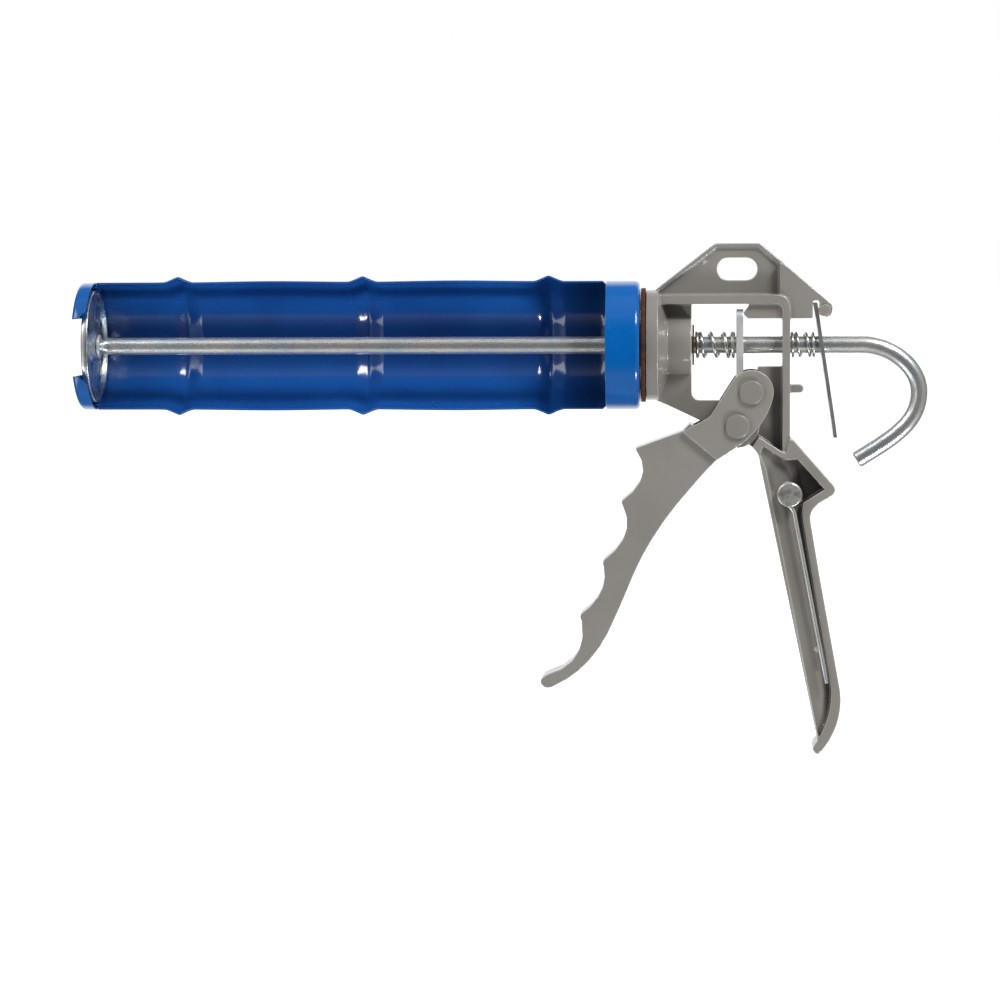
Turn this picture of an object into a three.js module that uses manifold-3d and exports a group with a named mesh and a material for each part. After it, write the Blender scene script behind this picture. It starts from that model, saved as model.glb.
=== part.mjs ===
import * as THREE from "three";
import { mergeVertices } from "three/addons/utils/BufferGeometryUtils.js";
import Module from "manifold-3d";

const wasm = await Module();
wasm.setup();

// A caulking gun for a standard 310 ml cartridge, in millimetres. +X runs from the nozzle end to the hook,
// +Z is up and Y = 0 is the mid-plane. The open side of the barrel faces -Y. The origin is on the rod's axis,
// at the middle of the face that presses the cartridge. The frame's own outlines are measured from the front
// face of its flange.

// Clearances.
const touching = 0.3; // between pieces that rest on each other
const running = 0.35; // round a shaft, on its radius
const weld = 3.7e-4; // corners nearer than this are one corner

// Barrel.
const barrelRadius = 26.1;
const barrelSheet = 0.9;
const barrelRoom = 227.4; // from the front cap's inner face to the rear cap's
const capRim = 5.9;
const cupRim = 13.8;
const capCorner = 1; // rounding inside the caps' corners
const nozzleSlot = 23;
const slotMouth = 31;
const ribCount = 3;
const ribPitch = 76;
const firstRib = 38.9; // from the front cap's inner face
const ribHeight = 2.2;
const ribWidth = 11;
const baySwell = 0.4;

// Rod and plunger.
const rodRadius = 3.5;
const tenonRadius = 2.35;
const plungerStart = 2.7; // plunger face to the front cap's inner face with the rod nearly home
const plungerClearance = 2.2; // plunger edge to the barrel's inside
const plungerSheet = 1.2;
const plungerFlange = 0.9; // how far the edge is folded back
const rivetHeadRadius = 4.6;
const rivetHeadHeight = 1.2;
const hookGap = 10.7; // straight rod behind the release lever's foot
const hookDrop = 19.2;
const hookWidth = 23.2;

// Swivel between barrel and frame.
const spigotRadius = 9;
const swivelWasherRadius = 23.1;
const swivelWasherThickness = 1.9;
const thrustWasherRadius = 14;
const thrustWasherThickness = 1.2;
const swivelNutAcross = 24;
const swivelNutHeight = 5;

// Frame casting.
const flangeRadius = 22.4;
const flangeThickness = 4.9;
const hubRadius = 11.4;
const hubEnd = 18.2;
const coneEnd = 8.2;
const webHalf = 2.5;
const beadHalf = 3.6;
const beadWidth = 1.7;
const rimHalf = 8;
const blockHalf = 6.5;
const noseHalf = 6;
const topBarLow = 16.6;
const topBarHigh = 20.4;
const barCorner = 5.9;
const rearWallFront = 54.8;
const rearWallThickness = 3.1;
const headTop = 41;
const hangSlotLength = 16.3;
const hangSlotHeight = 9.1;
const hangSlotX = 36.6;
const hangSlotZ = 30.7;
const blockFront = 53.6;
const blockLow = 10.7;
const noseTip = 39.4;
const pegLength = 6.3;
const pegHeight = 3.3;
const pegZ = -17.7;
const handleHalf = 9;
const handleRim = 3.2;
const pocketFloor = 2; // half thickness left between the two handle pockets

// Trigger and drive.
const pivotX = 36.8;
const pivotZ = -32.6;
const driveX = 5.6; // drive pin from the pivot, at rest
const driveZ = 13.7;
const bossRadius = 8.9;
const pinRadius = 2.4;
const pinHeadRadius = 4.9;
const pinHeadHeight = 1.2;
const rollerWall = 0.9;
const cheekThickness = 2.5;
const gripStep = 0.6; // how far the grip stands over the cheeks' inner faces
const lobeRadius = 8.9;
const plateSide = 0.6; // between the drive plate and each cheek of the trigger
const plateThickness = 2.8;
const plateTop = 14.4;
const plateBottom = -21.5;
const springWire = 1.3;
const seatWasherRadius = 8.2;
const seatWasherThickness = 0.7;

// Release lever.
const leverHalf = 6.2;
const leverThickness = 1.5;
const leverSlotDepth = 7.2;
const leverBendZ = -31;
const leverFootZ = -37.4;
const leverSlotWidth = 2.7;
const earRadius = 3;
const earPinRadius = 2.2;
const earPinX = 71.9;
const earPinZ = 14;
const releaseWire = 1;

// Puncture wire on the handle.
const wireRadius = 0.9;
const wireRivetX = 57.7;
const wireRivetZ = -60.2;
const wireRivetShank = 3;
const wireRivetHead = 4.8;
const wireRivetHeadHeight = 1.2;
const wireEndX = 72.9;
const wireEndZ = -136.7;

// Places that follow from the sizes above.
const capInside = -plungerStart;
const capFace = capInside - barrelSheet;
const capRimEnd = capFace + capRim;
const cupInside = capInside + barrelRoom;
const cupBack = cupInside + barrelSheet;
const cupFront = cupBack - cupRim;
const rimInside = barrelRadius - barrelSheet; // inside radius of both caps' rims
const frameX = cupBack + touching + swivelWasherThickness + touching;
const nutBack = cupInside - touching - thrustWasherThickness - touching;
const spigotEnd = nutBack - swivelNutHeight;
const rodBore = rodRadius + running;
const rearWallBack = rearWallFront + rearWallThickness;
const plateBack = noseTip - touching;
const plateFront = plateBack - plateThickness;
const seatWasherFront = hubEnd + touching;
const cheekInner = rimHalf;
const cheekOuter = cheekInner + cheekThickness;
const gripHalf = cheekInner + gripStep;
const plateHalf = cheekInner - plateSide;
const leverSlotFront = earPinX - earPinRadius - leverSlotWidth;
const leverTop = blockLow + leverSlotDepth - 0.9;
const wireY = handleHalf + touching + wireRadius;
const leverFootX = leverLine(leverBendZ) + 0.8;
const hookStart = frameX + leverFootX + hookGap;

const enamelBlue = { color: 0x0b57a8, roughness: 0.2, metalness: 0 };
const castGrey = { color: 0x85817b, roughness: 0.45, metalness: 0.2 };
const zincSteel = { color: 0xb9bdbf, roughness: 0.3, metalness: 1 };
const springSteel = { color: 0x9a9a98, roughness: 0.35, metalness: 1 };
const fibreBrown = { color: 0x54301d, roughness: 0.8, metalness: 0 };

// Merges shared vertices, drops triangles of no area and turns the faces outwards.
function closedMesh(source) {
  const bare = source.clone();
  for (const name of Object.keys(bare.attributes)) {
    if (name !== "position") {
      bare.deleteAttribute(name);
    }
  }
  const merged = mergeVertices(bare, weld);
  const position = merged.attributes.position;
  const corners = [];
  let volume = 0;
  const a = new THREE.Vector3();
  const b = new THREE.Vector3();
  const c = new THREE.Vector3();
  for (let i = 0; i < merged.index.count; i += 3) {
    const [p, q, r] = [0, 1, 2].map((k) => merged.index.getX(i + k));
    if (p === q || q === r || r === p) {
      continue;
    }
    corners.push(p, q, r);
    a.fromBufferAttribute(position, p);
    b.fromBufferAttribute(position, q);
    c.fromBufferAttribute(position, r);
    volume += a.dot(b.cross(c));
  }
  if (volume < 0) {
    corners.reverse();
  }
  const result = new THREE.BufferGeometry();
  result.setAttribute("position", position);
  result.setIndex(corners);
  return result;
}

function solid(source) {
  const mesh = closedMesh(source);
  const vertProperties = new Float32Array(mesh.attributes.position.array);
  const triVerts = new Uint32Array(mesh.index.array);
  return new wasm.Manifold(new wasm.Mesh({ numProp: 3, vertProperties, triVerts }));
}

function geometry(manifold) {
  const mesh = manifold.getMesh();
  const result = new THREE.BufferGeometry();
  result.setAttribute("position", new THREE.BufferAttribute(new Float32Array(mesh.vertProperties), 3));
  result.setIndex(Array.from(mesh.triVerts));
  return result;
}

// A shape from [x, z] points and curves: [x, z] is a corner, [cx, cz, x, z] a curve through a control point.
function outline(points) {
  const shape = new THREE.Shape();
  shape.moveTo(points[0][0], points[0][1]);
  for (const point of points.slice(1)) {
    if (point.length === 2) {
      shape.lineTo(point[0], point[1]);
    } else {
      shape.quadraticCurveTo(...point);
    }
  }
  shape.closePath();
  return shape;
}

function circle(x, z, radius) {
  const shape = new THREE.Shape();
  shape.absarc(x, z, radius, 0, 2 * Math.PI, false);
  return shape;
}

function roundSlot(x, z, length, height) {
  const shape = new THREE.Shape();
  const reach = (length - height) / 2;
  shape.absarc(x + reach, z, height / 2, -Math.PI / 2, Math.PI / 2, false);
  shape.absarc(x - reach, z, height / 2, Math.PI / 2, 1.5 * Math.PI, false);
  shape.closePath();
  return shape;
}

// A plate with an outline in the X-Z plane, from y = low to y = high.
function plate(shape, low, high, curveSegments = 6) {
  const body = new THREE.ExtrudeGeometry(shape, { depth: high - low, bevelEnabled: false, curveSegments });
  body.rotateX(Math.PI / 2);
  body.translate(0, high, 0);
  return body;
}

function middlePlate(shape, half, curveSegments = 6) {
  return plate(shape, -half, half, curveSegments);
}

// A body turned about the X axis from [x, radius] points. A ring's points close on themselves.
function turned(points, segments = 32) {
  const profile = points.map(([x, radius]) => new THREE.Vector2(radius, x));
  const body = new THREE.LatheGeometry(profile, segments);
  body.rotateZ(-Math.PI / 2);
  return body;
}

function ring(front, back, inner, outer, segments = 32) {
  return turned([[front, inner], [front, outer], [back, outer], [back, inner], [front, inner]], segments);
}

function shaft(front, back, radius, segments = 24) {
  return turned([[front, 0], [front, radius], [back, radius], [back, 0]], segments);
}

// A round bar across the mid-plane, from y = low to y = high.
function crossBar(x, z, radius, low, high, curveSegments = 10) {
  return plate(circle(x, z, radius), low, high, curveSegments);
}

function wire(path, radius, steps, sides) {
  const section = new THREE.Shape();
  section.absarc(0, 0, radius, 0, 2 * Math.PI, false);
  const options = { steps, curveSegments: sides / 2, bevelEnabled: false, extrudePath: path };
  return new THREE.ExtrudeGeometry(section, options);
}

class Helix extends THREE.Curve {
  constructor(front, back, radius, turns) {
    super();
    Object.assign(this, { front, back, radius, turns });
  }

  getPoint(t, target = new THREE.Vector3()) {
    const angle = 2 * Math.PI * this.turns * t;
    const x = this.front + (this.back - this.front) * t;
    return target.set(x, this.radius * Math.cos(angle), this.radius * Math.sin(angle));
  }
}

// Outer radius of the cradle along x: a joggled tongue at each end, pointed ribs, and bays that swell a little.
function cradleLine() {
  const tongue = rimInside - touching - 0.2;
  const line = [[capInside + capCorner + touching, tongue], [capRimEnd + touching, tongue]];
  let bayStart = capRimEnd + touching + 0.9;
  line.push([bayStart, barrelRadius]);
  for (let i = 0; i <= ribCount; i += 1) {
    const rib = capInside + firstRib + i * ribPitch;
    const last = i === ribCount;
    const bayEnd = last ? cupFront - touching - 0.9 : rib - ribWidth / 2;
    const swell = bayEnd - bayStart > ribPitch / 2 ? baySwell : 0;
    if (swell > 0) {
      for (const part of [0.25, 0.5, 0.75]) {
        const rise = swell * Math.sin(Math.PI * part);
        line.push([bayStart + (bayEnd - bayStart) * part, barrelRadius + rise]);
      }
    }
    line.push([bayEnd, barrelRadius]);
    if (!last) {
      line.push([rib - ribWidth * 0.36, barrelRadius + ribHeight * 0.16]);
      line.push([rib - ribWidth * 0.1, barrelRadius + ribHeight * 0.86]);
      line.push([rib, barrelRadius + ribHeight]);
      line.push([rib + ribWidth * 0.1, barrelRadius + ribHeight * 0.86]);
      line.push([rib + ribWidth * 0.36, barrelRadius + ribHeight * 0.16]);
      bayStart = rib + ribWidth / 2;
      line.push([bayStart, barrelRadius]);
    }
  }
  line.push([cupFront - touching, tongue], [cupInside - capCorner - touching, tongue]);
  return line;
}

function cradle() {
  const outside = cradleLine();
  const inside = outside.map(([x, radius]) => [x, radius - barrelSheet]).reverse();
  const tube = solid(turned([...outside, ...inside, outside[0]], 48));
  const size = 4 * barrelRadius;
  const behind = new THREE.BoxGeometry(2 * barrelRoom, size, size);
  behind.translate(cupInside / 2, size / 2, 0);
  return geometry(tube.intersect(solid(behind)));
}

function frontCap() {
  const body = solid(turned([
    [capFace, 0], [capFace, barrelRadius - 2.2], [capFace + 0.6, barrelRadius - 0.7],
    [capFace + 1.9, barrelRadius], [capRimEnd, barrelRadius], [capRimEnd, rimInside],
    [capInside + capCorner, rimInside], [capInside, rimInside - 1.4], [capInside, 0],
  ], 48));
  // The slot runs from the middle to the open side: the nozzle drops in sideways.
  const reach = 2 * barrelRadius;
  const half = nozzleSlot / 2;
  const slot = new THREE.Shape();
  slot.moveTo(-half, -reach);
  slot.lineTo(-half, 0);
  slot.absarc(0, 0, half, Math.PI, 0, true);
  slot.lineTo(half, -reach);
  slot.closePath();
  const cut = new THREE.ExtrudeGeometry(slot, { depth: 4 * capRim, bevelEnabled: false, curveSegments: 10 });
  cut.rotateY(Math.PI / 2);
  cut.translate(capFace - capRim, 0, 0);
  const mouth = outline([
    [capFace - 6, half], [capFace + 1.5, half], [capFace + 3.6, half + 0.2, capRimEnd, slotMouth / 2],
    [capRimEnd + 3, slotMouth / 2 + 6], [capRimEnd + 3, -slotMouth / 2 - 6], [capRimEnd, -slotMouth / 2],
    [capFace + 3.6, -half - 0.2, capFace + 1.5, -half], [capFace - 6, -half],
  ]);
  return geometry(body.subtract(solid(cut)).subtract(solid(plate(mouth, -reach, -barrelRadius / 2))));
}

function rearCap() {
  const hole = spigotRadius + running;
  return turned([
    [cupFront, rimInside], [cupFront, barrelRadius], [cupBack - 1.8, barrelRadius],
    [cupBack - 0.5, barrelRadius - 0.5], [cupBack, barrelRadius - 1.8], [cupBack, hole], [cupInside, hole],
    [cupInside, rimInside - capCorner], [cupInside - capCorner, rimInside], [cupFront, rimInside],
  ], 48);
}

function swivelNut() {
  const hexagon = new THREE.Shape();
  const corner = swivelNutAcross / Math.sqrt(3);
  hexagon.moveTo(corner, 0);
  for (let i = 1; i < 6; i += 1) {
    hexagon.lineTo(corner * Math.cos((i * Math.PI) / 3), corner * Math.sin((i * Math.PI) / 3));
  }
  hexagon.closePath();
  const hole = new THREE.Path();
  hole.absarc(0, 0, spigotRadius + touching, 0, 2 * Math.PI, true);
  hexagon.holes.push(hole);
  const options = { depth: swivelNutHeight, bevelEnabled: false, curveSegments: 12 };
  const body = new THREE.ExtrudeGeometry(hexagon, options);
  body.rotateY(Math.PI / 2);
  body.translate(spigotEnd, 0, 0);
  return body;
}

function plungerDisc() {
  const edge = rimInside - plungerClearance;
  const hole = tenonRadius + touching;
  const seat = rivetHeadRadius + touching;
  const back = rivetHeadHeight + touching;
  return turned([
    [0, seat + 1.2], [0, edge - 0.6], [0.6, edge], [plungerSheet + plungerFlange, edge],
    [plungerSheet + plungerFlange, edge - plungerSheet], [plungerSheet, edge - plungerSheet - 0.6],
    [plungerSheet, seat + 2], [back + plungerSheet, seat + 0.6], [back + plungerSheet, hole], [back, hole],
    [back, seat], [0, seat + 1.2],
  ], 40);
}

function plungerWasher() {
  const front = rivetHeadHeight + touching + plungerSheet + touching;
  return ring(front, front + 0.9, tenonRadius + touching, tenonRadius + 2.4, 24);
}

function pushRod() {
  const shoulder = 6.6;
  const straight = solid(turned([
    [0, 0], [0, rivetHeadRadius - 0.3], [0.3, rivetHeadRadius], [rivetHeadHeight, rivetHeadRadius],
    [rivetHeadHeight, tenonRadius], [shoulder - 2, tenonRadius], [shoulder, rodRadius],
    [hookStart + 0.5, rodRadius], [hookStart + 0.5, 0],
  ], 16));
  const tip = new THREE.Vector3(hookStart + hookWidth, 0, -hookDrop);
  const path = new THREE.CurvePath();
  path.add(new THREE.CubicBezierCurve3(
    new THREE.Vector3(hookStart, 0, 0), new THREE.Vector3(hookStart + hookWidth / 2, 0, 0),
    new THREE.Vector3(tip.x, 0, tip.z * 0.455), tip));
  path.add(new THREE.CubicBezierCurve3(
    tip, new THREE.Vector3(tip.x, 0, tip.z - 13),
    new THREE.Vector3(tip.x - 11.2, 0, tip.z - 19), new THREE.Vector3(tip.x - 25.1, 0, tip.z - 27.7)));
  return geometry(straight.add(solid(wire(path, rodRadius, 26, 16))));
}

function frameWeb() {
  const flangeSide = flangeThickness - 1;
  return outline([
    [flangeSide, flangeRadius + 0.3], [25.5, 39.4], [27.8, headTop], [45.7, headTop], [47.7, 39.4], [57.5, 31],
    [57.5, -47.8], [45.9, -47.8], [45.7, -43.6, 42.5, -41.2], [41, -40, 39.6, -38.9], [8.2, -24.2],
    [flangeSide, -flangeRadius],
  ]);
}

function frameWindow() {
  return outline([
    [hubEnd, topBarLow], [rearWallFront, topBarLow], [rearWallFront, -8.7], [44.9, -8.7], [44.9, -10.6],
    [47.2, -12.6], [47.2, -22.4], [hubEnd + 3.8, -22.4], [hubEnd, -22.4, hubEnd, -18.6],
  ]);
}

function headBead() {
  const inner = beadWidth;
  return outline([
    [flangeThickness - 1, flangeRadius + 0.3], [25.5, 39.4], [27.8, headTop], [45.7, headTop], [47.7, 39.4],
    [57.5, 31], [56.4, 29.6], [46.8, 39.2 - inner * 0.7], [45.1, headTop - inner], [28.4, headTop - inner],
    [26.5, 39.2 - inner * 0.8], [flangeThickness, flangeRadius - 1],
  ]);
}

function topBar() {
  const high = topBarHigh;
  const low = topBarLow;
  const back = rearWallBack;
  const front = rearWallFront;
  return outline([
    [flangeThickness - 1, high], [back - barCorner, high], [back, high, back, high - barCorner], [back, -46],
    [front, -46], [front, low - 3], [front, low, front - 3, low], [flangeThickness - 1, low],
  ]);
}

function rearBlock() {
  const slotBack = leverSlotFront + leverSlotWidth;
  const slotTop = blockLow + leverSlotDepth;
  const ear = earRadius;
  return outline([
    [blockFront, 33.6], [57.4, 31.1], [66.8, 22.9], [71.6, 19], [earPinX + ear * 0.9, earPinZ + ear * 0.8],
    [earPinX + ear * 1.2, earPinZ, earPinX + ear * 0.7, earPinZ - ear * 0.72],
    [earPinX, earPinZ - ear * 1.2, earPinX - ear * 0.72, earPinZ - ear * 0.6], [slotBack, earPinZ - 0.4],
    [slotBack, slotTop], [leverSlotFront, slotTop], [leverSlotFront, blockLow], [blockFront, blockLow],
  ]);
}

function nose() {
  return outline([
    [42.2, topBarLow + 0.5], [noseTip, 13.3], [noseTip, 12.1], [noseTip + 1.4, blockLow],
    [rearWallFront + 1, blockLow], [rearWallFront + 1, topBarLow + 0.5],
  ]);
}

function handleOutline() {
  return outline([
    [42.7, -41.3], [45.4, -36.9], [54.3, -42.7], [rearWallFront + 1.5, -43.6], [rearWallBack, -37.6],
    [59.2, -38.2], [61.8, -41.2], [75.6, -56.9], [77, -58.6, 74.9, -60.7], [69.6, -64], [65.6, -66.6, 66.2, -71],
    [70.1, -94], [78.3, -139.2], [79.4, -146, 77.2, -153.6], [74.4, -161.4, 70.4, -165.4],
    [69, -166.8, 67.6, -164.6], [66.8, -163.2, 69.4, -160.6], [45.9, -48], [45.7, -43.6, 42.7, -41.3],
  ]);
}

function pocketOutline() {
  const rim = handleRim;
  return outline([
    [47, -40.6], [54.4, -45.2], [57.6, -46.3], [61, -46], [74.4 - rim * 0.8, -58.2], [66.4 - rim, -63.6],
    [65.7 - rim, -66.8, 66.4 - rim, -71], [70.2 - rim, -94], [77.9 - rim, -139.2],
    [78.4 - rim, -148, 74.6 - rim, -156.2], [73 - rim, -159.6], [48.4, -50], [46, -44],
  ]);
}

// Room above the pocket's floor, which falls from the handle's front edge to its back rim.
function pocketRoom(side) {
  const lean = Math.atan2(23.2, 111);
  const section = new THREE.Shape();
  section.moveTo(-4, handleHalf - 0.9);
  section.quadraticCurveTo(7, handleHalf - 1.5, 15, pocketFloor);
  section.lineTo(48, pocketFloor);
  section.lineTo(48, handleHalf + 2);
  section.lineTo(-4, handleHalf + 2);
  section.closePath();
  const body = new THREE.ExtrudeGeometry(section, { depth: 150, bevelEnabled: false, curveSegments: 5 });
  if (side < 0) {
    body.scale(1, -1, 1);
  }
  body.translate(0, 0, -140);
  body.rotateY(-lean);
  body.translate(45, 0, -44);
  return body;
}

function frameCasting() {
  let body = solid(turned([
    [spigotEnd - frameX - 1, 0], [spigotEnd - frameX - 1, spigotRadius], [0, spigotRadius], [0, flangeRadius],
    [flangeThickness, flangeRadius], [flangeThickness + 0.2, flangeRadius - 1.4], [coneEnd, hubRadius],
    [hubEnd, hubRadius], [hubEnd, 0],
  ], 40));
  const web = solid(middlePlate(frameWeb(), webHalf)).subtract(solid(middlePlate(frameWindow(), rimHalf)));
  body = body.add(web);
  body = body.add(solid(middlePlate(headBead(), beadHalf)));
  body = body.add(solid(middlePlate(topBar(), rimHalf)));
  body = body.add(solid(middlePlate(rearBlock(), blockHalf)));
  body = body.add(solid(middlePlate(nose(), noseHalf)));
  body = body.add(solid(crossBar(pivotX, pivotZ, bossRadius, 0.4 - cheekInner, cheekInner - 0.4)));
  const peg = outline([
    [rearWallBack - 1, pegZ + pegHeight / 2], [rearWallBack + pegLength - 1.6, pegZ + pegHeight / 2],
    [rearWallBack + pegLength + 0.4, pegZ, rearWallBack + pegLength - 1.6, pegZ - pegHeight / 2],
    [rearWallBack - 1, pegZ - pegHeight / 2],
  ]);
  body = body.add(solid(middlePlate(peg, 3)));
  const gusset = outline([[rearWallBack - 1, -36], [62.1, -41.4], [62.1, -46], [rearWallBack - 1, -46]]);
  body = body.add(solid(middlePlate(gusset, 4)));

  let handle = solid(middlePlate(handleOutline(), handleHalf));
  const pocket = pocketOutline();
  handle = handle.subtract(solid(plate(pocket, 0, 2 * handleHalf)).intersect(solid(pocketRoom(1))));
  handle = handle.subtract(solid(plate(pocket, -2 * handleHalf, 0)).intersect(solid(pocketRoom(-1))));
  body = body.add(handle);
  body = body.add(solid(crossBar(wireRivetX, wireRivetZ, wireRivetShank + 1.6, 0.3 - handleHalf, 0)));

  const hang = roundSlot(hangSlotX, hangSlotZ, hangSlotLength, hangSlotHeight);
  body = body.subtract(solid(middlePlate(hang, rimHalf)));
  body = body.subtract(solid(shaft(spigotEnd - frameX - 5, 90, rodBore)));
  body = body.subtract(solid(crossBar(pivotX, pivotZ, pinRadius + touching, -20, 20)));
  body = body.subtract(solid(crossBar(earPinX, earPinZ, earPinRadius + touching, -20, 20)));
  body = body.subtract(solid(crossBar(wireRivetX, wireRivetZ, wireRivetShank + touching, -20, -1)));
  return geometry(body);
}

// The trigger's outlines are measured from its pivot.
function cheekOutline() {
  const shape = new THREE.Shape();
  shape.moveTo(-22.2, -2);
  shape.quadraticCurveTo(-13.5, 2.2, -11, 4.2);
  shape.lineTo(driveX - lobeRadius * 0.82, driveZ + lobeRadius * 0.58);
  shape.absarc(driveX, driveZ, lobeRadius, 0.79 * Math.PI, -0.12 * Math.PI, true);
  shape.quadraticCurveTo(12.2, 2.4, 2.5, -6.6);
  shape.lineTo(-8.2, -13.6);
  shape.closePath();
  return shape;
}

function gripOutline() {
  return outline([
    [-19.2, 1.2], [-22.2, -2], [-39.4, -8.2], [-41.8, -8.9, -41.2, -9.4], [-33, -20.5, -46.9, -30.3],
    [-47.2, -31, -46.4, -32.2], [-40.5, -44.5, -54.3, -54.5], [-54.8, -55.4, -54.2, -57],
    [-52, -68.5, -63.5, -76.4], [-64.2, -77.4, -63.2, -79.5], [-60.5, -96.5, -77.4, -101.4],
    [-81.5, -103.4, -79.4, -105.8], [-77.6, -107.6, -75, -106.3], [-60, -99.5, -52.6, -84.5],
    [-47.6, -74, -42.2, -60.7], [-34.5, -42.5, -18.4, -24.6], [-13.4, -18.6, -8.2, -13.6], [-5.2, -10.6],
  ]);
}

function triggerForging() {
  const cheek = cheekOutline();
  let body = solid(middlePlate(gripOutline(), gripHalf, 5));
  body = body.add(solid(plate(cheek, cheekInner, cheekOuter, 10)));
  body = body.add(solid(plate(cheek, -cheekOuter, -cheekInner, 10)));
  body = body.subtract(solid(crossBar(0, 0, pinRadius + running, -20, 20)));
  body = body.subtract(solid(crossBar(driveX, driveZ, pinRadius + touching, -20, 20)));
  return geometry(body);
}

// A rivet through both cheeks, with a head on each side.
function cheekRivet(x, z) {
  const inner = cheekOuter + touching;
  const outer = inner + pinHeadHeight;
  let body = solid(crossBar(x, z, pinRadius, -inner - 0.5, inner + 0.5));
  body = body.add(solid(crossBar(x, z, pinHeadRadius, inner, outer, 12)));
  body = body.add(solid(crossBar(x, z, pinHeadRadius, -outer, -inner, 12)));
  return geometry(body);
}

function driveRoller() {
  const half = cheekInner - touching;
  const shape = circle(driveX, driveZ, pinRadius + touching + rollerWall - 0.6);
  const hole = new THREE.Path();
  hole.absarc(driveX, driveZ, pinRadius + 0.1, 0, 2 * Math.PI, true);
  shape.holes.push(hole);
  return middlePlate(shape, half, 10);
}

function drivePlate() {
  const shape = new THREE.Shape();
  const half = plateHalf;
  shape.moveTo(-plateTop + half * 0.5, -half);
  shape.lineTo(-plateBottom, -half);
  shape.lineTo(-plateBottom, half);
  shape.lineTo(-plateTop + half * 0.5, half);
  shape.quadraticCurveTo(-plateTop, half, -plateTop, half * 0.4);
  shape.lineTo(-plateTop, -half * 0.4);
  shape.quadraticCurveTo(-plateTop, -half, -plateTop + half * 0.5, -half);
  const hole = new THREE.Path();
  hole.absarc(0, 0, rodBore, 0, 2 * Math.PI, true);
  shape.holes.push(hole);
  const body = new THREE.ExtrudeGeometry(shape, { depth: plateThickness, bevelEnabled: false, curveSegments: 8 });
  body.rotateY(Math.PI / 2);
  body.translate(plateFront, 0, 0);
  return body;
}

function driveSpring() {
  const front = seatWasherFront + seatWasherThickness + touching + springWire / 2;
  const back = plateFront - touching - springWire / 2;
  return wire(new Helix(front, back, rodBore + springWire / 2 + 0.5, 4.6), springWire / 2, 74, 6);
}

function releaseSpring() {
  const front = rearWallBack + touching + releaseWire / 2;
  const back = leverLine(0) - leverThickness / 2 - 1.2 - releaseWire;
  return wire(new Helix(front, back, rodBore + releaseWire / 2 + 0.5, 3.2), releaseWire / 2, 52, 6);
}

// The lever's mid-line leans back below its bend.
function leverLine(z) {
  return leverSlotFront + 2 + (blockLow - z) * 0.152;
}

function releaseLever() {
  const half = leverThickness / 2;
  const topX = leverSlotFront + leverSlotWidth / 2 - 0.3;
  const shape = outline([
    [topX - half, leverTop], [topX + half, leverTop], [leverLine(blockLow) + half, blockLow],
    [leverLine(leverBendZ) + half, leverBendZ], [leverFootX + half, leverFootZ], [leverFootX - half, leverFootZ],
    [leverLine(leverBendZ) - half, leverBendZ], [leverLine(blockLow) - half, blockLow],
  ]);
  const body = solid(middlePlate(shape, leverHalf));
  const hole = solid(shaft(leverLine(0) - 12, leverLine(0) + 12, rodBore + 0.5));
  return geometry(body.subtract(hole));
}

function punctureWire() {
  const loop = wireRivetShank + running + wireRadius;
  const start = new THREE.Vector3(wireRivetX + 1.6, -wireY, wireRivetZ - loop - 1.9);
  const end = new THREE.Vector3(wireEndX, -wireY, wireEndZ);
  let body = solid(wire(new THREE.LineCurve3(start, end), wireRadius, 1, 8));
  const eye = circle(wireRivetX, wireRivetZ, loop + wireRadius);
  const hole = new THREE.Path();
  hole.absarc(wireRivetX, wireRivetZ, loop - wireRadius, 0, 2 * Math.PI, true);
  eye.holes.push(hole);
  body = body.add(solid(plate(eye, -wireY - wireRadius, -wireY + wireRadius, 12)));
  const kinkStart = new THREE.Vector3(wireRivetX - 2.8, -wireY, wireRivetZ - loop + 0.5);
  body = body.add(solid(wire(new THREE.LineCurve3(kinkStart, start.clone().lerp(end, 0.01)), wireRadius, 1, 8)));
  return geometry(body);
}

function wireRivet() {
  const neck = wireY + wireRadius + touching;
  let body = solid(crossBar(wireRivetX, wireRivetZ, wireRivetShank, -neck - 0.5, -1.4));
  body = body.add(solid(crossBar(wireRivetX, wireRivetZ, wireRivetHead, -neck - wireRivetHeadHeight, -neck, 12)));
  return geometry(body);
}

function piece(name, shape, finish) {
  const mesh = new THREE.Mesh(closedMesh(shape), new THREE.MeshStandardMaterial(finish));
  mesh.name = name;
  return mesh;
}

const gun = new THREE.Group();

const barrel = new THREE.Group();
barrel.add(piece("cradle", cradle(), enamelBlue));
barrel.add(piece("front_cap", frontCap(), enamelBlue));
barrel.add(piece("rear_cap", rearCap(), enamelBlue));
gun.add(barrel);

const washerFront = cupBack + touching;
const thrustFront = cupInside - touching - thrustWasherThickness;
const washerHole = spigotRadius + touching;
const swivel = new THREE.Group();
swivel.add(piece(
  "swivel_washer",
  ring(washerFront, washerFront + swivelWasherThickness, washerHole, swivelWasherRadius, 40), fibreBrown));
swivel.add(piece(
  "thrust_washer", ring(thrustFront, thrustFront + thrustWasherThickness, washerHole, thrustWasherRadius),
  zincSteel));
swivel.add(piece("swivel_nut", swivelNut(), zincSteel));
gun.add(swivel);

const plunger = new THREE.Group();
plunger.add(piece("plunger_disc", plungerDisc(), zincSteel));
plunger.add(piece("plunger_washer", plungerWasher(), zincSteel));
plunger.add(piece("push_rod", pushRod(), zincSteel));
gun.add(plunger);

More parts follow.
